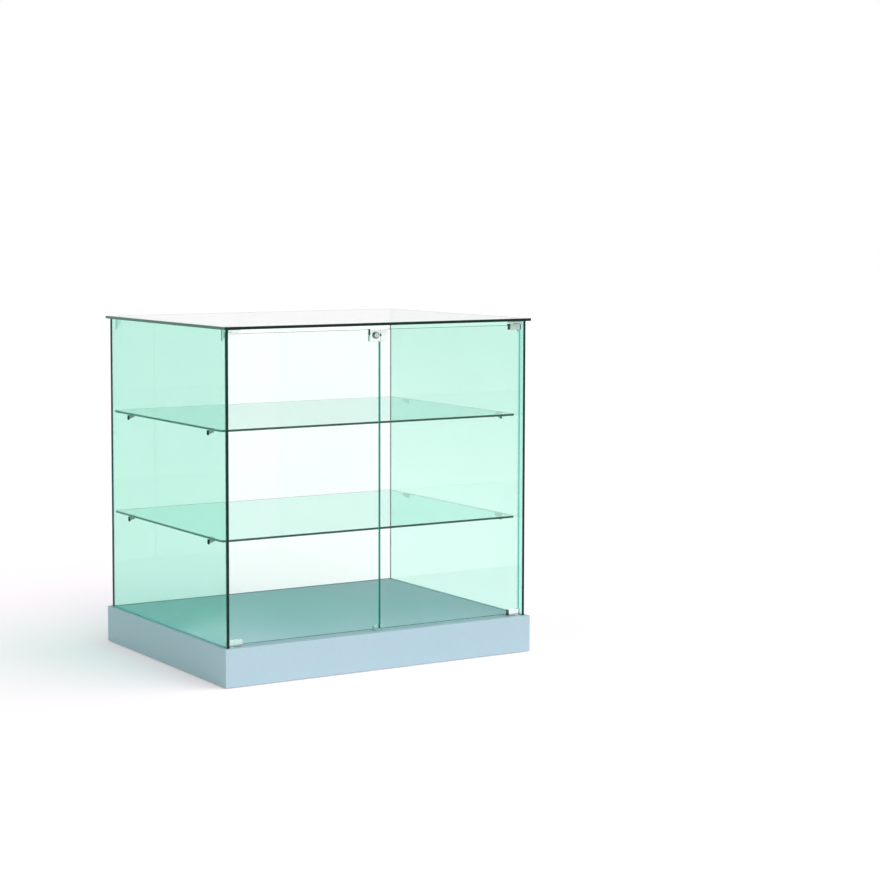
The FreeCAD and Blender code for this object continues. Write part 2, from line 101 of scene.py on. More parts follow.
def floatGlass(name, tint, lampTint, skyTint, paintedFloorReflectionTint=None, glow=None):
    # float glass, drawn flat and fire polished: a clear tint, mirror at a slant, the faintest roll wave;
    # lamp light passes straight through, less what the faces throw back, and sky light takes a fuller tint;
    # where glow is given, a band of painted edge light: the tint deepens towards cyan near one ground edge,
    # in place of the light that the edge scatters along the pane
    material, tree = newMaterial(name)
    place = addNode(tree, "TexCoord").outputs["Object"]
    cloud = addNode(tree, "TexNoise", {"Vector": place, "Scale": perMetre(glassLook["cloudMm"]),
                                       "Detail": 2.0})
    height = addNode(tree, "SeparateXYZ", {0: place})
    # painted reflection of the bright floor: the tint is lighter towards the foot of the pane and fades to
    # the plain tint higher up
    paintedReflectionRamp = addNode(tree, "MapRange", {"Value": height.outputs["Z"], "From Min": glassLook["footAt"],
                                       "From Max": glassLook["headAt"]})
    body = addNode(tree, "Mix", {0: paintedReflectionRamp.outputs[0], 6: linear(paintedFloorReflectionTint or tint), 7: linear(tint)},
                   data_type="RGBA")
    if glow:
        # painted edge light: a narrow band by one edge takes a deeper, cyan tint
        near = addNode(tree, "MapRange", {"Value": height.outputs[glow["along"]], "From Min": glow["from"],
                                          "From Max": glow["full"]})
        body = addNode(tree, "Mix", {0: near.outputs[0], 6: body.outputs[2], 7: linear(glow["tint"])},
                       data_type="RGBA", blend_type="MULTIPLY")
    share = addNode(tree, "Math", {0: cloud.outputs["Fac"], 1: glassLook["cloudShare"]}, operation="MULTIPLY")
    shade = addNode(tree, "Mix", {0: share.outputs[0], 6: body.outputs[2], 7: (0, 0, 0, 1)}, data_type="RGBA")
    wave = addNode(tree, "TexNoise", {"Vector": place, "Scale": perMetre(glassLook["waveMm"]), "Detail": 1.0})
    roll = addNode(tree, "Bump", {"Height": wave.outputs["Fac"], "Strength": 1.0,
                                  "Distance": glassLook["waveHeight"]})
    glass = addNode(tree, "BsdfPrincipled", {"Base Color": shade.outputs[2], "Roughness": 0.0,
                                             "IOR": glassLook["ior"], "Transmission Weight": 1.0,
                                             "Normal": roll.outputs[0]})
    forLamps = addNode(tree, "BsdfTransparent", {"Color": rootOf(linear(lampTint))})
    forSky = addNode(tree, "BsdfTransparent", {"Color": rootOf(linear(skyTint))})
    path = addNode(tree, "LightPath")
    lamps = addNode(tree, "MixShader", {0: path.outputs["Is Shadow Ray"], 1: glass.outputs[0],
                                        2: forLamps.outputs[0]})
    bounced = addNode(tree, "MixShader", {0: path.outputs["Is Diffuse Ray"], 1: lamps.outputs[0],
                                          2: forSky.outputs[0]})
    showSurface(tree, bounced)
    return material


edgeLook = {"streakMm": (40, 1.2), "beltRange": (0.35, 0.65), "roughness": (0.2, 0.4), "specular": 0.12}


def groundEdge(name, deep, pale):
    # glass edge, ground on a belt and polished: looks deep into the pane, so dark green, or paler and bluer
    # where more light comes along the pane, with fine belt lines
    material, tree = newMaterial(name)
    place = addNode(tree, "TexCoord").outputs["Object"]
    long, fine = (perMetre(size) for size in edgeLook["streakMm"])
    slow = addNode(tree, "TexNoise", {"Vector": place, "Scale": long, "Detail": 3.0})
    belt = addNode(tree, "TexNoise", {"Vector": place, "Scale": fine, "Detail": 2.0})
    shade = addNode(tree, "Mix", {0: slow.outputs["Fac"], 6: linear(deep), 7: linear(pale)}, data_type="RGBA")
    (beltLow, beltHigh), (smooth, coarse) = edgeLook["beltRange"], edgeLook["roughness"]
    rough = addNode(tree, "MapRange", {"Value": belt.outputs["Fac"], "From Min": beltLow,
                                       "From Max": beltHigh, "To Min": smooth, "To Max": coarse})
    edge = addNode(tree, "BsdfPrincipled", {"Base Color": shade.outputs[2], "Roughness": rough.outputs[0],
                                            "Specular IOR Level": edgeLook["specular"],
                                            "IOR": glassLook["ior"]})
    showSurface(tree, edge)
    return material


laminateLook = {"colour": "#b9d0dd", "speck": "#a9c4d3", "speckMm": 1.6, "speckRange": (0.45, 0.75),
                "cloudMm": 160, "cloudRange": (0.35, 0.65), "cloudShare": 0.12, "pearlMm": 2.2, "pearl": 0.5,
                "pearlDeep": 0.00004, "roughness": (0.36, 0.5), "specular": 0.4}


def pearlLaminate():
    # melamine laminate pressed on board with a pearl plate: satin, pale blue grey, finely pimpled;
    # the pimples are drawn three times too coarse so that they show at all
    look = laminateLook
    material, tree = newMaterial("melamineLaminatePearl")
    place = addNode(tree, "TexCoord").outputs["Object"]
    speck = addNode(tree, "TexNoise", {"Vector": place, "Scale": perMetre(look["speckMm"]), "Detail": 3.0})
    cloud = addNode(tree, "TexNoise", {"Vector": place, "Scale": perMetre(look["cloudMm"]), "Detail": 2.0})
    dots = addNode(tree, "MapRange", {"Value": speck.outputs["Fac"], "From Min": look["speckRange"][0],
                                      "From Max": look["speckRange"][1]})
    base = addNode(tree, "Mix", {0: dots.outputs[0], 6: linear(look["colour"]), 7: linear(look["speck"])},
                   data_type="RGBA")
    drift = addNode(tree, "MapRange", {"Value": cloud.outputs["Fac"], "From Min": look["cloudRange"][0],
                                       "From Max": look["cloudRange"][1], "To Max": look["cloudShare"]})
    tone = addNode(tree, "Mix", {0: drift.outputs[0], 6: base.outputs[2], 7: linear(look["speck"])},
                   data_type="RGBA")
    pearl = addNode(tree, "TexVoronoi", {"Vector": place, "Scale": perMetre(look["pearlMm"])},
                    feature="SMOOTH_F1")
    pimples = addNode(tree, "Bump", {"Height": pearl.outputs["Distance"], "Strength": look["pearl"],
                                     "Distance": look["pearlDeep"]})
    rough = addNode(tree, "MapRange", {"Value": speck.outputs["Fac"], "To Min": look["roughness"][0],
                                       "To Max": look["roughness"][1]})
    skin = addNode(tree, "BsdfPrincipled", {"Base Color": tone.outputs[2], "Roughness": rough.outputs[0],
                                            "Specular IOR Level": look["specular"],
                                            "Normal": pimples.outputs[0]})
    showSurface(tree, skin)
    return material


chipLook = {"chipMm": 5, "dustMm": 1.5, "pale": "#d2b98f", "dark": "#9c7f57", "roughness": 0.85, "grit": 0.6,
            "gritDeep": 0.0004}


def chipboard():
    # bare chipboard: pressed wood chips a few millimetres long, pale and dark, dry and rough
    material, tree = newMaterial("bareChipboard")
    place = addNode(tree, "TexCoord").outputs["Object"]
    chips = addNode(tree, "TexVoronoi", {"Vector": place, "Scale": perMetre(chipLook["chipMm"])})
    dust = addNode(tree, "TexNoise", {"Vector": place, "Scale": perMetre(chipLook["dustMm"]), "Detail": 4.0})
    tone = addNode(tree, "Mix", {0: chips.outputs["Color"], 6: linear(chipLook["pale"]),
                                 7: linear(chipLook["dark"])}, data_type="RGBA")
    grit = addNode(tree, "Bump", {"Height": dust.outputs["Fac"], "Strength": chipLook["grit"],
                                  "Distance": chipLook["gritDeep"]})
    wood = addNode(tree, "BsdfPrincipled", {"Base Color": tone.outputs[2], "Roughness": chipLook["roughness"],
                                            "Normal": grit.outputs[0]})
    showSurface(tree, wood)
    return material


# the bright, mirror and satin chrome entries are lighter or darker copies of one chrome, with a little more
# or less roughness, given piece by piece: painted light and shade. All the chrome colours lean green: a
# painted reflection of the mint glass
metalLook = {
    "chromePlateBuffed": {"pale": "#cfe5e0", "deep": "#b5cdc7", "roughness": (0.05, 0.13), "lineMm": 0.9,
                          "lineDeep": 0.000002},
    "chromePlateLitPainted": {"pale": "#eaf1ee", "deep": "#dee7e3", "roughness": (0.05, 0.12), "lineMm": 0.9,
                          "lineDeep": 0.000002},
    "chromePlateBrightestPainted": {"pale": "#f1f5f3", "deep": "#e4ebe8", "roughness": (0.04, 0.1), "lineMm": 0.9,
                          "lineDeep": 0.000002},
    "chromePlateShadedPainted": {"pale": "#b4c8be", "deep": "#a2b8ad", "roughness": (0.12, 0.22), "lineMm": 0.9,
                         "lineDeep": 0.000003},
    "zincPassivateGreen": {"pale": "#2a5549", "deep": "#1b4439", "roughness": (0.25, 0.4), "lineMm": 1.2,
                           "lineDeep": 0.000004},
    # painted shade, not a plating: the dark laid on clamp ends and on the lock's mouth, end plate and notches
    "darkPaintedShade": {"pale": "#3b4240", "deep": "#262c2b", "roughness": (0.25, 0.4), "lineMm": 1.2,
                      "lineDeep": 0.000004},
    "zincDieCastSatin": {"pale": "#93a09a", "deep": "#717f79", "roughness": (0.28, 0.42), "lineMm": 1.2,
                         "lineDeep": 0.000004},
    "steelBrightDrawn": {"pale": "#c9cdd0", "deep": "#a9aeb2", "roughness": (0.2, 0.34), "lineMm": 0.6,
                         "lineDeep": 0.000005},
    "nickelPlateTurned": {"pale": "#7a8c82", "deep": "#596b62", "roughness": (0.12, 0.24), "lineMm": 0.5,
                          "lineDeep": 0.000006},
}


wipeLook = {"hazeMm": 9, "hazeRange": (0.3, 0.7), "hair": 0.4}


def platedMetal(name):
    # plated or drawn metal: mirror bright, broken by hazy wipe marks and hairline buffing scratches
    look = metalLook[name]
    material, tree = newMaterial(name)
    place = addNode(tree, "TexCoord").outputs["Object"]
    haze = addNode(tree, "TexNoise", {"Vector": place, "Scale": perMetre(wipeLook["hazeMm"]), "Detail": 4.0})
    hair = addNode(tree, "TexNoise", {"Vector": place, "Scale": perMetre(look["lineMm"]), "Detail": 2.0})
    tone = addNode(tree, "Mix", {0: haze.outputs["Fac"], 6: linear(look["pale"]), 7: linear(look["deep"])},
                   data_type="RGBA")
    (hazeLow, hazeHigh), (smooth, coarse) = wipeLook["hazeRange"], look["roughness"]
    rough = addNode(tree, "MapRange", {"Value": haze.outputs["Fac"], "From Min": hazeLow,
                                       "From Max": hazeHigh, "To Min": smooth, "To Max": coarse})
    lines = addNode(tree, "Bump", {"Height": hair.outputs["Fac"], "Strength": wipeLook["hair"],
                                   "Distance": look["lineDeep"]})
    metal = addNode(tree, "BsdfPrincipled", {"Base Color": tone.outputs[2], "Metallic": 1.0,
                                             "Roughness": rough.outputs[0], "Normal": lines.outputs[0]})
    showSurface(tree, metal)
    return material


acrylicLook = {"tint": "#eefaf5", "cloudMm": 6, "roughness": (0.02, 0.12), "ior": 1.49, "clear": 0.7}


def clearAcrylic():
    # cast acrylic, cut and flame polished: clear, a little milky, with soft cloudy edges;
    # lamp and sky light pass it
    look = acrylicLook
    material, tree = newMaterial("castAcrylicClear")
    place = addNode(tree, "TexCoord").outputs["Object"]
    cloud = addNode(tree, "TexNoise", {"Vector": place, "Scale": perMetre(look["cloudMm"]), "Detail": 3.0})
    rough = addNode(tree, "MapRange", {"Value": cloud.outputs["Fac"], "To Min": look["roughness"][0],
                                       "To Max": look["roughness"][1]})
    body = addNode(tree, "BsdfPrincipled", {"Base Color": linear(look["tint"]), "Roughness": rough.outputs[0],
                                            "IOR": look["ior"], "Transmission Weight": look["clear"]})
    clear = addNode(tree, "BsdfTransparent", {"Color": rootOf(linear(look["tint"]))})
    path = addNode(tree, "LightPath")
    lamps = addNode(tree, "MixShader", {0: path.outputs["Is Shadow Ray"], 1: body.outputs[0],
                                        2: clear.outputs[0]})
    bounced = addNode(tree, "MixShader", {0: path.outputs["Is Diffuse Ray"], 1: lamps.outputs[0],
                                          2: clear.outputs[0]})
    showSurface(tree, bounced)
    return material


mouldLook = {"pits": 0.4, "pitDeep": 0.00005}


def mouldedPlastic(name, pale, deep, roughness, grainMm):
    # moulded from a spark-eroded tool: even colour, soft grain, no gloss
    material, tree = newMaterial(name)
    place = addNode(tree, "TexCoord").outputs["Object"]
    grain = addNode(tree, "TexNoise", {"Vector": place, "Scale": perMetre(grainMm), "Detail": 3.0})
    tone = addNode(tree, "Mix", {0: grain.outputs["Fac"], 6: linear(pale), 7: linear(deep)}, data_type="RGBA")
    pits = addNode(tree, "Bump", {"Height": grain.outputs["Fac"], "Strength": mouldLook["pits"],
                                  "Distance": mouldLook["pitDeep"]})
    skin = addNode(tree, "BsdfPrincipled", {"Base Color": tone.outputs[2], "Roughness": roughness,
                                            "Normal": pits.outputs[0]})
    showSurface(tree, skin)
    return material


# where the painted edge light starts and where it is full, in metres from the middle of the counter
paneEdgeLightPainted = {"along": "Y", "from": -0.339, "full": -0.351, "tint": "#def5f7"}
doorEdgeLightPainted = {"along": "X", "from": 0.4725, "full": 0.4745, "tint": "#c6eaea"}
# the two side panes are lighter at the foot (their fifth colour): a painted reflection of the bright floor,
# strongest on the right pane
mintGlass = floatGlass("floatGlassMint", "#c4f3e5", "#cbd0ce", "#b3d6ee", "#ccfaec")
rightMintPaintedReflection = floatGlass("floatGlassMintRightPaintedReflection", "#beecde", "#aeb8b4", "#b3f3e4", "#e0fff6", paneEdgeLightPainted)
shelfGlass = floatGlass("floatGlassShelfMint", "#d4fff4", "#aefbe2", "#adfced")
clearGlass = floatGlass("floatGlassClear", "#f9fffd", "#eefbf6", "#dcfffc")
doorGlass = floatGlass("floatGlassClearEdgeLightPainted", "#f9fffd", "#eefbf6", "#dcfffc", glow=doorEdgeLightPainted)
backGlass = floatGlass("floatGlassBack", "#fafffd", "#dde6e9", "#8f84b0")
topGlass = floatGlass("floatGlassTop", "#fdfffe", "#e6fbf3", "#d7fff9")
# the sea green, moss and cyan edges are lighter copies, given to edges that face left or right: painted light
mintEdge = groundEdge("groundEdgeDeepGreen", "#0c2a23", "#16382f")
shelfEdge = groundEdge("groundEdgeFir", "#123f33", "#1d5445")
seaEdgeLitPainted = groundEdge("groundEdgeSeaGreenLitPainted", "#0c8a68", "#1f9f7c")
mossEdgeLitPainted = groundEdge("groundEdgeMossLitPainted", "#4a7a6c", "#5f8c7f")
tealEdge = groundEdge("groundEdgeTeal", "#0b5457", "#17696b")
cyanEdgeLitPainted = groundEdge("groundEdgeCyanLitPainted", "#4fd6c6", "#6fe2d4")
topEdge = groundEdge("groundEdgeBottleGreen", "#0b211b", "#14312a")
laminate = pearlLaminate()
board = chipboard()
(chrome, chromeLitPainted, chromeBrightestPainted, chromeShadedPainted, greenZinc, paintedShadeDark, satinZinc, steel,
 nickel) = [platedMetal(name) for name in metalLook]  # in the order of metalLook
acrylic = clearAcrylic()
nylon = mouldedPlastic("nylonMoulded", "#e8e6df", "#d6d3ca", 0.5, 0.8)
rubber = mouldedPlastic("rubberStripExtruded", "#1b1c1c", "#111212", 0.75, 1.0)
print("materials:", len(bpy.data.materials))


# surfaces

def unit(v):
    return v / np.linalg.norm(v, axis=-1, keepdims=True)


def corneredInwards(corners):
    # for each corner, the shift that moves both of its sides in by one, and 1 or, for a hollow corner, -1
    p = np.asarray(corners, float)
    side = unit(np.roll(p, -1, 0) - p)
    inward = np.stack([-side[:, 1], side[:, 0]], 1)
    before, after = np.roll(inward, 1, 0), inward
    shift = (before + after) / (1 + (before * after).sum(1, keepdims=True))
    turn = np.roll(side, 1, 0)
    swell = np.sign(turn[:, 0] * side[:, 1] - turn[:, 1] * side[:, 0])
    return shift, swell


def roundedLoop(corners, radius, steps=6):
    # a corner is an arc about the point that lies the radius from both of its sides
    p = np.asarray(corners, float)
    a, b = unit(np.roll(p, 1, 0) - p), unit(np.roll(p, -1, 0) - p)
    half = 0.5 * np.arccos(np.clip((a * b).sum(1), -1, 1))
    r = np.broadcast_to(np.asarray(radius, float), len(p))
    centre = p + unit(a + b) * (r / np.sin(half))[:, None]
    first = p + a * (r / np.tan(half))[:, None] - centre
    last = p + b * (r / np.tan(half))[:, None] - centre
    sweep = (math.pi - 2 * half)[:, None]
    t = np.linspace(0, 1, steps + 1)[None]
    begin, end = np.sin((1 - t) * sweep) / np.sin(sweep), np.sin(t * sweep) / np.sin(sweep)
    arcs = centre[:, None] + first[:, None] * begin[..., None] + last[:, None] * end[..., None]
    return arcs.reshape(-1, 2)


leastRadius = 0.05 * mm


def insetLoop(corners, radius, inset, steps=6):
    # every side moves in by the inset; a round corner loses it from its radius, a hollow one gains it
    shift, swell = corneredInwards(corners)
    r = np.broadcast_to(np.asarray(radius, float), len(shift))
    radii = np.maximum(r - swell * inset, leastRadius)
    return roundedLoop(np.asarray(corners, float) + shift * inset, radii, steps)


axisOrder = {"x": (0, 1, 2), "y": (1, 0, 2), "z": (2, 0, 1)}  # where travel, first and second profile axis go


def setAlong(loop, travel, axis):
    points = np.empty((len(loop), 3))
    order = axisOrder[axis]
    points[:, order[0]], points[:, order[1]], points[:, order[2]] = travel, loop[:, 0], loop[:, 1]
    return points


def carried(corners, radius, ends, axis, bevel, steps=6, bevelSteps=3):
    # the profile is carried straight along an axis; at both ends it draws in on a quarter circle
    t = np.linspace(0, math.pi / 2, bevelSteps + 1)
    inset = bevel * (1 - np.sin(t))
    travel = bevel * (1 - np.cos(t))
    rows = [setAlong(insetLoop(corners, radius, d, steps), ends[0] + s, axis) for d, s in zip(inset, travel)]
    rows += [setAlong(insetLoop(corners, radius, d, steps), ends[1] - s, axis)
             for d, s in zip(inset[::-1], travel[::-1])]
    return np.array(rows)


def revolved(profile, centre, around=48):
    # each profile point (radius, travel along y) goes round a circle in the x z plane
    profile = np.asarray(profile, float)
    turn = np.linspace(0, 2 * math.pi, around, endpoint=False)
    rows = np.empty((len(profile), around, 3))
    rows[..., 0] = centre[0] + profile[:, :1] * np.cos(turn)
    rows[..., 1] = profile[:, 1:]
    rows[..., 2] = centre[1] + profile[:, :1] * np.sin(turn)
    return rows


def gridFaces(rows, start, ring):  # quads between neighbouring rows of closed loops
    m, n = rows.shape[:2]
    index = start + np.arange(m * n).reshape(m, n)
    if ring:
        index = np.vstack([index, index[:1]])
    ahead = np.roll(index, -1, 1)
    quads = np.stack([index[:-1], ahead[:-1], ahead[1:], index[1:]], -1).reshape(-1, 4)
    caps = [] if ring else [index[0][::-1].tolist(), index[-1].tolist()]
    return quads.tolist(), caps


def buildPiece(name, shells, materials, sharp=32):
    # shells: dicts with rows, and the slots of the walls (or of each band between rows) and of the end caps
    points, faces, slots = [], [], []
    for shell in shells:
        quads, caps = gridFaces(shell["rows"], sum(len(p) for p in points), shell.get("ring", False))
        points.append(shell["rows"].reshape(-1, 3))
        faces += quads + caps
        bands = shell.get("bands", [shell.get("wall", 0)] * (len(quads) // shell["rows"].shape[1]))
        slots += np.repeat(bands, shell["rows"].shape[1]).tolist() \
            + list(shell.get("caps", [shell.get("cap", 0)] * 2))[:len(caps)]
    mesh = bpy.data.meshes.new(name)
    mesh.from_pydata(np.vstack(points).tolist(), [], faces)
    for material in materials:
        mesh.materials.append(material)
    mesh.polygons.foreach_set("material_index", slots)
    turnOutwards(mesh)
    mesh.polygons.foreach_set("use_smooth", [True] * len(mesh.polygons))
    mesh.set_sharp_from_angle(angle=math.radians(sharp))
    piece = bpy.data.objects.new(name, mesh)
    scene.collection.objects.link(piece)
    return piece


def turnOutwards(mesh):
    work = bmesh.new()
    work.from_mesh(mesh)
    bmesh.ops.recalc_face_normals(work, faces=work.faces)
    work.to_mesh(mesh)
    work.free()


def handOver(piece, body, slot, *nodes):  # the piece stands for these nodes
    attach(piece, body)
    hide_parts(*nodes)


def boxOf(node):
    low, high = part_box(node)
    return np.array(low), np.array(high)


def rectangle(u, v):
    return [(u[0], v[0]), (u[1], v[0]), (u[1], v[1]), (u[0], v[1])]


# glass

paneLook = {"arris": 0.8 * mm, "corner": 0.8 * mm, "cornerSteps": 8, "facing": 0.5}
# right, left and head give the edge colour for edges facing +x, -x and up: painted light and shade by facing
panes = {
    "glass_left": {"axis": "x", "face": mintGlass, "edge": mintEdge, "slot": "glass_green"},
    "glass_right": {"axis": "x", "face": rightMintPaintedReflection, "edge": mintEdge, "slot": "glass_green"},
    "glass_back": {"axis": "y", "face": backGlass, "edge": tealEdge, "slot": "glass_clear"},
    "glass_top": {"axis": "z", "corner": 4 * mm, "face": topGlass, "edge": topEdge, "left": mossEdgeLitPainted,
                  "slot": "glass_clear"},
    "shelf_lower": {"axis": "z", "corner": 12 * mm, "face": shelfGlass, "edge": shelfEdge, "left": seaEdgeLitPainted,
                    "slot": "glass_green"},
    "shelf_upper": {"axis": "z", "corner": 12 * mm, "face": shelfGlass, "edge": shelfEdge, "left": seaEdgeLitPainted,
                    "slot": "glass_green"},
    "door_left": {"axis": "y", "face": clearGlass, "edge": tealEdge, "right": cyanEdgeLitPainted, "head": mintEdge,
                  "slot": "glass_clear", "body": "left_door"},
    "door_right": {"axis": "y", "face": doorGlass, "edge": tealEdge, "right": cyanEdgeLitPainted, "head": mintEdge,
                   "slot": "glass_clear", "body": "right_door"},
}


# slots for the painted lighter or darker edge copies, by which way the edge faces
edgeSlots = {"edge": 1, "right": 2, "left": 3, "head": 4}  # slot 0 is the pane's face


def paintLightOnEdgesByFacing(mesh):  # painted light and shade: edge faces that look up, right or left take their own lighter or darker copy of the edge colour
    count = len(mesh.polygons)
    facing, slots = np.empty(count * 3), np.empty(count, int)
    mesh.polygons.foreach_get("normal", facing)
    mesh.polygons.foreach_get("material_index", slots)
    edge, (sideways, _, up), least = slots == edgeSlots["edge"], facing.reshape(-1, 3).T, paneLook["facing"]
    slots[edge & (up > least)] = edgeSlots["head"]
    slots[edge & (sideways > least)] = edgeSlots["right"]
    slots[edge & (sideways < -least)] = edgeSlots["left"]
    mesh.polygons.foreach_set("material_index", slots)


def glassPane(node, look):
    # outline with round corners, carried through the thickness; the arris draws it in at both faces
    low, high = boxOf(node)
    through, across, up = axisOrder[look["axis"]]
    outline = rectangle((low[across], high[across]), (low[up], high[up]))
    rows = carried(outline, look.get("corner", paneLook["corner"]), (low[through], high[through]),
                   look["axis"], paneLook["arris"], paneLook["cornerSteps"], bevelSteps=1)
    pane = buildPiece("pane_" + node, [{"rows": rows, "wall": edgeSlots["edge"], "cap": 0}],
                      [look["face"]] + [look.get(k, look["edge"]) for k in edgeSlots])
    paintLightOnEdgesByFacing(pane.data)
    handOver(pane, look.get("body", "counter"), look["slot"], node)


for node, look in panes.items():
    glassPane(node, look)
print("glass panes:", len(panes))


# hinges

# the hinge clamps take lighter or darker chrome copies piece by piece: painted light and shade
clampLook = {"jaw": 3.5 * mm, "wall": 3.5 * mm, "round": 0.7 * mm, "inside": 0.3 * mm, "bevel": 0.9 * mm,
             "bevelSteps": 3, "paintedShadeCollar": 1.6 * mm, "left_upper": chromeBrightestPainted, "right_upper": chromeShadedPainted,
             "right_lower": chromeLitPainted}


def hingeClamp(side, level):
    # channel section carried along the door's edge; its end caps are painted dark shade, and on the right
    # door so are its left end bevel and a narrow collar after it
    node = "hinge_clamp_" + side + "_" + level
    low, high = boxOf(node)
    y, z = (low[1], high[1]), (low[2], high[2])
    jaw, wall = clampLook["jaw"], clampLook["wall"]
    if level == "lower":
        section = [(y[0], z[0]), (y[1], z[0]), (y[1], z[1]), (y[1] - jaw, z[1]), (y[1] - jaw, z[0] + wall),
                   (y[0] + jaw, z[0] + wall), (y[0] + jaw, z[1]), (y[0], z[1])]
        radius = [clampLook["round"]] * 4 + [clampLook["inside"]] * 2 + [clampLook["round"]] * 2
    else:
        section = [(y[0], z[0]), (y[0] + jaw, z[0]), (y[0] + jaw, z[1] - wall), (y[1] - jaw, z[1] - wall),
                   (y[1] - jaw, z[0]), (y[1], z[0]), (y[1], z[1]), (y[0], z[1])]
        radius = [clampLook["round"]] * 2 + [clampLook["inside"]] * 2 + [clampLook["round"]] * 4
    last = clampLook["bevelSteps"]  # the row at which the first bevel ends
    rows = carried(section, radius, (low[0], high[0]), "x", clampLook["bevel"], steps=4, bevelSteps=last)
    paintedShadeCollar = rows[last].copy()
    paintedShadeCollar[:, 0] = low[0] + clampLook["paintedShadeCollar"]
    rows = np.insert(rows, last + 1, paintedShadeCollar, axis=0)
    # painted shade: on the right door the left end bevel and collar are dark, and every clamp has dark end
    # caps
    bands = [1 if side == "right" else 0] * (last + 1) + [0] * (last + 1)
    clamp = buildPiece("clamp_" + side + "_" + level, [{"rows": rows, "bands": bands, "cap": 1}],
                       [clampLook.get(side + "_" + level, chrome), paintedShadeDark])
    handOver(clamp, side + "_door", "chrome", node)


# the left plate takes the brightest and the right plate the shaded chrome copy: painted light and shade
plateLook = {"corner": 2.5 * mm, "bevel": 0.6 * mm, "left": chromeBrightestPainted, "right": chromeShadedPainted}


def pivotPlate(side):
    # flat plate with round corners, carried through its thickness
    node = "pivot_plate_" + side
    low, high = boxOf(node)
    outline = rectangle((low[0], high[0]), (low[1], high[1]))
    rows = carried(outline, plateLook["corner"], (low[2], high[2]), "z", plateLook["bevel"])
    plate = buildPiece("plate_" + side, [{"rows": rows}], [plateLook[side]])
    handOver(plate, "counter", "chrome", node)


for side in ("left", "right"):
    for level in ("lower", "upper"):
        hingeClamp(side, level)
    pivotPlate(side)
print("hinges done")


# shelf brackets

bracketLook = {"flange": 2 * mm, "width": 10 * mm, "root": 11 * mm, "tip": 6 * mm, "round": 1.2 * mm,
               "bevel": 0.8 * mm, "flangeCorner": 2.5 * mm, "flangeBevel": 0.6 * mm, "sink": 0.5 * mm}


def shelfBracket(node):
    # arm: a tapered outline in x z carried along y; flange: a plate with round corners on the side glass
    low, high = boxOf(node)
    look = bracketLook
    onLeft = low[0] < 0
    wall, tip = (low[0], high[0]) if onLeft else (high[0], low[0])
    inward = 1 if onLeft else -1
    face = wall + inward * look["flange"]
    plate = carried(rectangle((low[1], high[1]), (low[2], high[2])), look["flangeCorner"],
                    sorted((wall, face)), "x", look["flangeBevel"])
    root = face - inward * look["sink"]
    top = high[2]
    arm = [(root, top), (root, top - look["root"]), (tip, top - look["tip"]), (tip, top)]
    if not onLeft:
        arm = arm[::-1]
    middle = (low[1] + high[1]) / 2
    ends = (middle - look["width"] / 2, middle + look["width"] / 2)
    bar = carried(arm, look["round"], ends, "y", look["bevel"])
    bracket = buildPiece("shelf_" + node, [{"rows": plate, "wall": 1, "cap": 1}, {"rows": bar}],
                         [satinZinc, greenZinc])
    handOver(bracket, "counter", "chrome", node)


for node in sorted(n for n in frame["nodes"] if n.startswith("bracket_")):
    shelfBracket(node)
print("shelf brackets done")


# lock and strike

lockLook = {"round": 1.5 * mm, "edge": 0.5 * mm, "bevel": 1.2 * mm, "mouthRound": 0.4 * mm, "bridge": 2 * mm,
            "back": 4 * mm, "clip": 0.4 * mm, "hookRound": 0.4 * mm, "hookBevel": 0.35 * mm,
            "boltRoom": 0.4 * mm, "endInset": 0.8 * mm, "endThick": 0.3 * mm, "endBevel": 0.1 * mm,
            "notchWide": 2.1 * mm, "notchHigh": 8 * mm, "proud": 0.1 * mm, "shy": 0.2 * mm}
mouths = {"lock_case": {"body": "left_door", "nodes": ["lock_case"], "side": 1, "round": "lock_bolt",
                        "room": 0.2 * mm, "deep": 4 * mm, "caps": (0, 1), "lip": 0.0},
          "strike_case": {"body": "right_door", "nodes": ["strike_case", "strike_spacer", "strike_cover"],
                          "side": -1, "round": "strike_spacer", "room": 0.0, "deep": 10.6 * mm,
                          "caps": (1, 0), "lip": 2.6 * mm}}


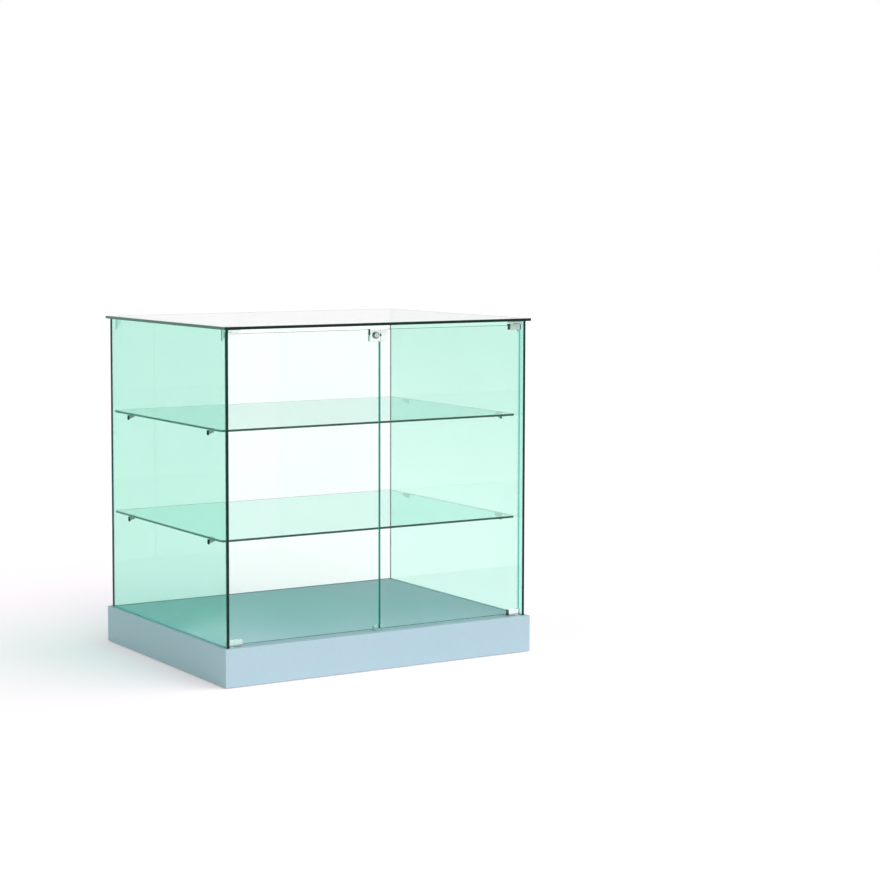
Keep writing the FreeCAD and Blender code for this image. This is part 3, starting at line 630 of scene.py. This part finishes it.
def edgeCase(node, mouth):
    # front block: a rectangle carried along x, with a mouth for the bolt let into one end;
    # clip: a hook section over the top edge of the door, carried along x; the strike reaches over the gap
    # with a lip, and a small dark notch on its front face and on the lock's, beside the gap, is painted shade
    # where the bolt passes
    look = lockLook
    corners = [boxOf(n) for n in mouth["nodes"]]
    low, high = np.min([c[0] for c in corners], 0), np.max([c[1] for c in corners], 0)
    door = boxOf("door_" + mouth["body"].split("_")[0])[0][1]
    boltLow, boltHigh = boxOf("lock_bolt")
    deepFrom, deepTo = (c[1] for c in boxOf(mouth["round"]))
    foot, head = low[2], high[2]
    radii = [look["round"], look["edge"], look["edge"], look["round"]]
    block = carried(rectangle((low[1], door), (foot, head)), radii, (low[0] - mouth["lip"], high[0]), "x",
                    look["bevel"])
    slot = rectangle((deepFrom - mouth["room"], deepTo + mouth["room"]),
                     (boltLow[2] - look["boltRoom"], boltHigh[2] + look["boltRoom"]))
    end = high[0] if mouth["side"] > 0 else low[0] - mouth["lip"]
    slotRows = np.array([setAlong(roundedLoop(slot, look["mouthRound"]), end - mouth["side"] * d, "x")
                         for d in (0.0, mouth["deep"])])
    bands = np.zeros(len(block) + 1, int)  # painted shade: the mouth's inner wall and floor are dark
    if mouth["side"] > 0:
        block = np.vstack([block, slotRows])
        bands[-1] = 1
    else:
        block = np.vstack([slotRows[::-1], block])
        bands[0] = 1
    plate = high[1] - look["back"]
    hook = [(plate, foot), (high[1], foot), (high[1], head), (door - look["clip"], head),
            (door - look["clip"], head - look["bridge"]), (plate, head - look["bridge"])]
    clip = carried(hook, look["hookRound"], (low[0], high[0]), "x", look["hookBevel"], steps=3)
    shells = [{"rows": block, "bands": bands, "caps": mouth["caps"]}, {"rows": clip}]
    if mouth["side"] > 0:  # painted shade: a thin dark plate over the upper half of the left end
        inset = look["endInset"]
        half = rectangle((low[1] + inset, door - inset), ((foot + head) / 2, head - inset))
        shells.append({"rows": carried(half, look["edge"], (low[0], low[0] + look["endThick"]), "x",
                                       look["endBevel"]), "wall": 1, "cap": 1})
    barrel = boxOf("lock_barrel")
    middle, near = (barrel[0][2] + barrel[1][2]) / 2, end - mouth["side"] * look["shy"]
    paintedShadeNotch = rectangle(sorted((near, near - mouth["side"] * look["notchWide"])),
                      (middle - look["notchHigh"] / 2, middle + look["notchHigh"] / 2))
    shells.append({"rows": carried(paintedShadeNotch, look["edge"], (low[1] - look["proud"], low[1] + look["proud"]), "y",
                                   look["proud"] / 2), "wall": 1, "cap": 1})
    case = buildPiece(node + "_body", shells, [chromeLitPainted, paintedShadeDark])
    handOver(case, mouth["body"], "chrome", *mouth["nodes"])


barrelLook = {"cone": (3.5 * mm, 2.8 * mm), "neck": 8 * mm, "bore": 6.05 * mm, "face": 0.3 * mm,
              "root": 0.5 * mm, "shoulder": 0.6 * mm, "steps": 5}


def lockBarrel():
    # turned ring: bore, narrow face, cone out to a shoulder rounded on an arc, straight side, root,
    # neck behind
    look = barrelLook
    low, high = boxOf("lock_barrel")
    outer = (high[0] - low[0]) / 2
    centre = ((low[0] + high[0]) / 2, (low[2] + high[2]) / 2)
    front, rear, face = low[1], high[1], boxOf("lock_case")[0][1]
    out, back = look["cone"]
    t = np.linspace(math.atan2(back, out), math.pi / 2, look["steps"] + 1)
    lip = np.stack([outer - look["shoulder"] * (1 - np.sin(t)),
                    front + back - look["shoulder"] * np.cos(t)], 1)
    ring = [(look["bore"], rear), (look["bore"], front + look["face"]), (look["bore"] + look["face"], front)]
    side = [(outer, face - look["root"]), (outer - look["root"], face), (look["neck"], face),
            (look["neck"], rear)]
    rows = revolved(np.vstack([ring, lip, side]), centre)
    barrel = buildPiece("lock_barrel_ring", [{"rows": rows, "ring": True}], [nickel])
    handOver(barrel, "left_door", "chrome", "lock_barrel")


for node, mouth in mouths.items():
    edgeCase(node, mouth)
lockBarrel()
print("lock done")


# the pieces that keep their solid shape take these finishes

finishes = {"plinth_laminate": laminate, "raw_board": board, "clear_plastic": acrylic, "steel": steel,
            "nylon": nylon, "rubber": rubber, "chrome": chrome, "glass_green": mintGlass,
            "glass_clear": clearGlass}
slotOf = {part["node"]: part["material_slot"] for part in frame["record"]["subparts"]}
for node, thing in frame["nodes"].items():
    thing.data.materials.clear()
    thing.data.materials.append(finishes[slotOf[node]])
print("finishes set")


# floor, light and camera

stageLook = {"floorSize": 60.0, "floor": ("#f9f2f5", "#fcf6f8"), "fibreMm": 400,
             "floorGlow": ((0.252, 0.211, 0.229, 1.0), 0.32), "sky": 0.42, "skyLeft": (0.45, 0.61, 0.52, 1.0),
             "leftEdge": (-0.1, -0.8), "horizon": 1.16, "horizonTo": 0.08, "ceilingEdge": (0.1, 0.4),
             "ceiling": 0.08, "flags": ((-0.49, 0.87, -0.09), (0.51, -0.86, -0.09)), "flagEdge": (0.92, 0.97),
             "flagFoot": (0.8, 0.92), "flag": 0.1}
sunLook = {"softKey": {"from": (0.62, -0.40, 0.67), "energy": 1.5, "angle": 60},
           "frontFill": {"from": (0.0, -0.88, 0.48), "energy": 0.8, "angle": 60}}


def towardsFlags(tree, way, edge):
    # 1 in the directions of the two dark flags, behind left and in front right, and 0 elsewhere
    sides = []
    for flag in stageLook["flags"]:
        near = addNode(tree, "VectorMath", {0: way, 1: tuple(unit(np.array(flag)))}, operation="DOT_PRODUCT")
        sides.append(addNode(tree, "MapRange", {"Value": near.outputs["Value"], "From Min": edge[0],
                                                "From Max": edge[1]},
                             interpolation_type="SMOOTHSTEP").outputs[0])
    return addNode(tree, "Math", {0: sides[0], 1: sides[1]}, operation="MAXIMUM").outputs[0]


def paleFloor():
    # a level sheet, slightly mottled so that it isn't one flat colour; panes mirror the dark flags on it
    half = stageLook["floorSize"] / 2
    mesh = bpy.data.meshes.new("studioFloor")
    corners = [(-half, -half, 0), (half, -half, 0), (half, half, 0), (-half, half, 0)]
    mesh.from_pydata(corners, [], [(0, 1, 2, 3)])
    material, tree = newMaterial("paperFloorWhite")
    place = addNode(tree, "TexCoord").outputs["Object"]
    fibre = addNode(tree, "TexNoise", {"Vector": place, "Scale": perMetre(stageLook["fibreMm"]),
                                       "Detail": 2.0})
    tone = addNode(tree, "Mix", {0: fibre.outputs["Fac"], 6: linear(stageLook["floor"][0]),
                                 7: linear(stageLook["floor"][1])},
                   data_type="RGBA")
    paper = addNode(tree, "BsdfDiffuse", {"Color": tone.outputs[2]})
    path = addNode(tree, "LightPath")
    glass = addNode(tree, "Math", {0: path.outputs["Is Transmission Ray"], 1: path.outputs["Is Glossy Ray"]},
                    operation="MAXIMUM")
    direct, through = stageLook["floorGlow"]
    behind = addNode(tree, "Mix", {0: glass.outputs[0], 6: (0, 0, 0, 1), 7: (through, through, through, 1)},
                     data_type="RGBA")
    shine = addNode(tree, "Mix", {0: path.outputs["Is Camera Ray"], 6: behind.outputs[2], 7: direct},
                    data_type="RGBA")
    glow = addNode(tree, "Emission", {"Color": shine.outputs[2], "Strength": 1.0})
    lit = addNode(tree, "AddShader", {0: paper.outputs[0], 1: glow.outputs[0]})
    mirrored = addNode(tree, "Math", {0: path.outputs["Is Singular Ray"],
                                      1: path.outputs["Is Transmission Ray"]},
                       operation="GREATER_THAN")  # a ray that has passed a pane is singular too
    way = addNode(tree, "VectorMath", {0: place}, operation="NORMALIZE")
    foot = towardsFlags(tree, way.outputs[0], stageLook["flagFoot"])
    flagged = addNode(tree, "Math", {0: mirrored.outputs[0], 1: foot}, operation="MULTIPLY")
    dark = addNode(tree, "Emission", {"Color": (1, 1, 1, 1), "Strength": stageLook["flag"]})
    seen = addNode(tree, "MixShader", {0: flagged.outputs[0], 1: lit.outputs[0], 2: dark.outputs[0]})
    showSurface(tree, seen)
    mesh.materials.append(material)
    floor = bpy.data.objects.new("studioFloor", mesh)
    scene.collection.objects.link(floor)


def whiteSky():
    # soft sky light on the object; the camera sees white, and through glass a white that is a little brighter
    # just over the horizon; panes mirror white and the dark flags, and metal mirrors a dark ceiling
    world = bpy.data.worlds.new("studioSky")
    scene.world = world
    world.use_nodes = True
    tree = world.node_tree
    tree.nodes.clear()
    way = addNode(tree, "TexCoord").outputs["Generated"]
    path = addNode(tree, "LightPath")
    height = addNode(tree, "SeparateXYZ", {0: way})
    start, full = stageLook["ceilingEdge"]
    ceiling = addNode(tree, "MapRange", {"Value": height.outputs["Z"], "From Min": start, "From Max": full,
                                         "To Min": 1.0, "To Max": stageLook["ceiling"]},
                      interpolation_type="SMOOTHSTEP")
    start, full = stageLook["leftEdge"]
    leftward = addNode(tree, "MapRange", {"Value": height.outputs["X"], "From Min": start, "From Max": full},
                       interpolation_type="SMOOTHSTEP")
    hue = addNode(tree, "Mix", {0: leftward.outputs[0], 6: (*[stageLook["sky"]] * 3, 1.0),
                                7: stageLook["skyLeft"]}, data_type="RGBA")
    light = addNode(tree, "Background", {"Color": hue.outputs[2], "Strength": 1.0})
    white = addNode(tree, "Background", {"Color": (1, 1, 1, 1), "Strength": 1.0})
    inMetal = addNode(tree, "Background", {"Color": (1, 1, 1, 1), "Strength": ceiling.outputs[0]})
    dark = addNode(tree, "Background", {"Color": (1, 1, 1, 1), "Strength": stageLook["flag"]})
    flagged = towardsFlags(tree, way, stageLook["flagEdge"])
    inPanes = addNode(tree, "MixShader", {0: flagged, 1: white.outputs[0], 2: dark.outputs[0]})
    mirrored = addNode(tree, "MixShader", {0: path.outputs["Is Singular Ray"], 1: inMetal.outputs[0],
                                           2: inPanes.outputs[0]})
    glossy = addNode(tree, "MixShader", {0: path.outputs["Is Glossy Ray"], 1: light.outputs[0],
                                         2: mirrored.outputs[0]})
    low = addNode(tree, "MapRange", {"Value": height.outputs["Z"], "From Max": stageLook["horizonTo"],
                                     "To Min": stageLook["horizon"], "To Max": 1.0},
                  interpolation_type="SMOOTHSTEP")  # meets the floor behind glass without a line
    behind = addNode(tree, "Background", {"Color": (1, 1, 1, 1), "Strength": low.outputs[0]})
    through = addNode(tree, "MixShader", {0: path.outputs["Is Transmission Ray"], 1: glossy.outputs[0],
                                          2: behind.outputs[0]})
    sky = addNode(tree, "MixShader", {0: path.outputs["Is Camera Ray"], 1: through.outputs[0],
                                      2: white.outputs[0]})
    addNode(tree, "OutputWorld", {"Surface": sky.outputs[0]})


def softSun(name, look):
    lamp = bpy.data.lights.new(name, "SUN")
    lamp.energy = look["energy"]
    lamp.angle = math.radians(look["angle"])
    sun = bpy.data.objects.new(name, lamp)
    away = unit(np.array(look["from"]))
    sun.rotation_euler = (math.acos(away[2]), 0, math.atan2(away[0], -away[1]))
    scene.collection.objects.link(sun)


cameraLook = {"place": (-3.1202, -5.5437, 1.2757), "yaw": 30.7886, "pitch": -4.3971, "lens": 88.51,
              "shift": (0.0805, -0.0654), "sensor": 36, "reach": 200}


def photoCamera():
    # the lens is shifted a little, which keeps uprights nearly upright and the counter left of the middle
    look = cameraLook
    lens = bpy.data.cameras.new("photoCamera")
    lens.sensor_width = look["sensor"]
    lens.lens = look["lens"]
    lens.shift_x, lens.shift_y = look["shift"]
    lens.clip_end = look["reach"]
    camera = bpy.data.objects.new("photoCamera", lens)
    camera.location = look["place"]
    camera.rotation_euler = (math.pi / 2 + math.radians(look["pitch"]), 0, -math.radians(look["yaw"]))
    scene.collection.objects.link(camera)
    scene.camera = camera


paleFloor()
whiteSky()
for name, look in sunLook.items():
    softSun(name, look)
photoCamera()
scene.view_settings.view_transform = "Standard"
print("stage set")

bpy.context.view_layer.update()
